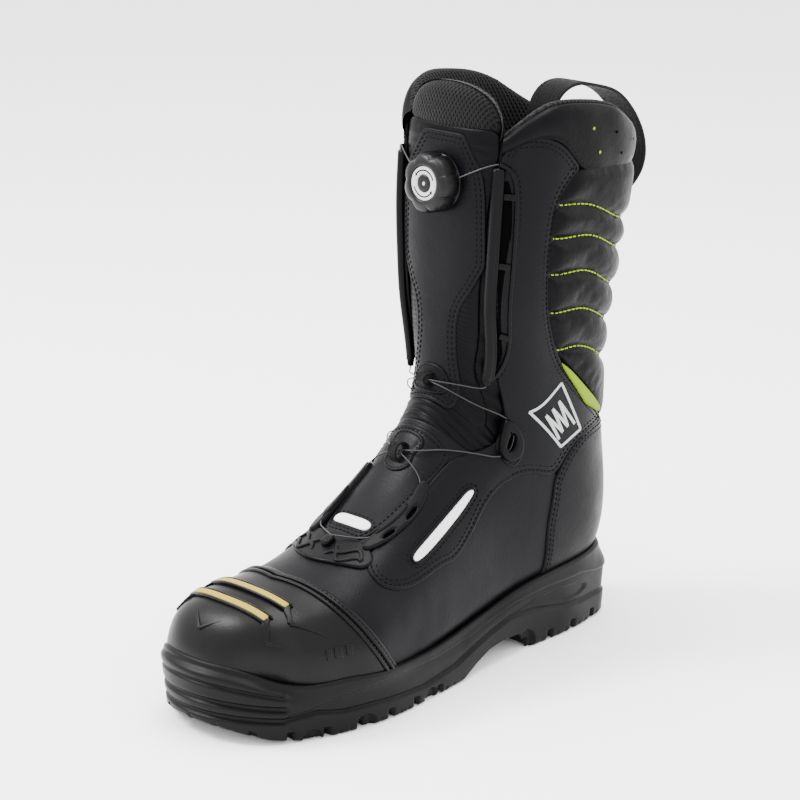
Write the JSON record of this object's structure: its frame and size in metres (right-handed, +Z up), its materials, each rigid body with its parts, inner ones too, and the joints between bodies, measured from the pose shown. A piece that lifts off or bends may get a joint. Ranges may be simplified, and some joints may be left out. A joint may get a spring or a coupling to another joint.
{
  "type": "fire boot with lace dial",
  "caption": "Left tall leather fire boot with safety toe, lugged sole, folding tongue and a turning lace dial with thin steel lace",
  "frame": {"origin": "on the ground under the foot, in the middle plane of the boot, level with the front of the arch", "axes": "+Z up, +X to the outer side of the left boot, -Y towards the toe"},
  "size_m": [0.1127, 0.3483, 0.3356],
  "materials": {
    "leather": "smooth black full grain leather, semi matte",
    "soft_leather": "soft grained black leather",
    "toe_leather": "coated black abrasion leather, satin",
    "sole_rubber": "black nitrile rubber, matt",
    "mesh": "black spacer mesh",
    "webbing": "black woven webbing",
    "padding": "foam and felt padding",
    "reflective": "white retroreflective film",
    "strip": "pale yellow reflective strip",
    "neon": "fluorescent yellow green",
    "badge": "light grey reflective print",
    "guide_plastic": "black moulded plastic",
    "dial_plastic": "black moulded plastic, satin",
    "dial_label": "white printed ring",
    "lace_cable": "coated steel lace",
    "steel": "steel",
    "composite": "woven composite"
  },
  "bodies": {
    "boot": {"outsole": "sole_rubber", "midsole": "sole_rubber", "toe_bumper": "sole_rubber", "shank": "steel", "steel_toe_cap": "steel", "puncture_plate": "composite", "heel_stiffener": "composite", "insole_board": "composite", "footbed": "padding", "vamp_padding": "padding", "ankle_pads": "padding", "shaft_padding": "padding", "foot_lining": "mesh", "shaft_lining": "mesh", "collar_lining": "mesh", "toe_guard": "toe_leather", "front_toe_strip": "strip", "rear_toe_strip": "strip", "vamp": "leather", "lateral_shaft_panel": "leather", "medial_shaft_panel": "leather", "heel_counter_cover": "leather", "instep_shield": "leather", "lower_loop_patch": "leather", "ankle_guide_tabs": "leather", "back_pad": "soft_leather", "collar_band": "soft_leather", "flex_zone": "soft_leather", "tongue_gusset": "soft_leather", "pull_loop_patch": "soft_leather", "reflex_wedges": "neon", "side_reflectors": "reflective", "instep_reflector": "reflective", "side_badge": "badge", "lower_lace_loop": "webbing", "pull_loop": "webbing", "lateral_rail_guide": "guide_plastic", "medial_rail_guide": "guide_plastic", "lateral_ankle_guide": "guide_plastic", "medial_ankle_guide": "guide_plastic", "lateral_lower_guide": "guide_plastic", "medial_lower_guide": "guide_plastic", "toe_guide": "guide_plastic", "lace_dial_runs": "lace_cable", "lace_rail_runs": "lace_cable", "lace_shin_runs": "lace_cable", "lace_instep_run": "lace_cable"},
    "tongue": {"tongue_shield": "leather", "tongue_underlay": "soft_leather", "tongue_pad": "mesh", "upper_loop_patch": "leather", "upper_lace_loop": "webbing", "dial_base": "dial_plastic"},
    "spool": {"dial_spool": "dial_plastic", "spool_lace": "lace_cable", "dial_spring": "steel"},
    "dial": {"dial_knob": "dial_plastic", "dial_cap": "dial_label", "dial_screw": "steel", "dial_gear": "dial_plastic"}
  },
  "joints": [
    {"name": "tongue_tilt", "type": "hinge", "parent": "boot", "child": "tongue", "pos_m": [0, 0.018, 0.154], "axis": [1, 0, 0], "range_deg": [0, 20], "deforming": ["lace_dial_runs", "lace_shin_runs", "tongue_gusset"]},
    {"name": "dial_turn", "type": "hinge", "parent": "tongue", "child": "spool", "pos_m": [0, 0.02995, 0.27738], "axis": [0, -0.9976, 0.0698], "continuous": true},
    {"name": "dial_pull", "type": "slide", "parent": "spool", "child": "dial", "axis": [0, -0.9976, 0.0698], "range_m": [0, 0.003]}
  ]
}
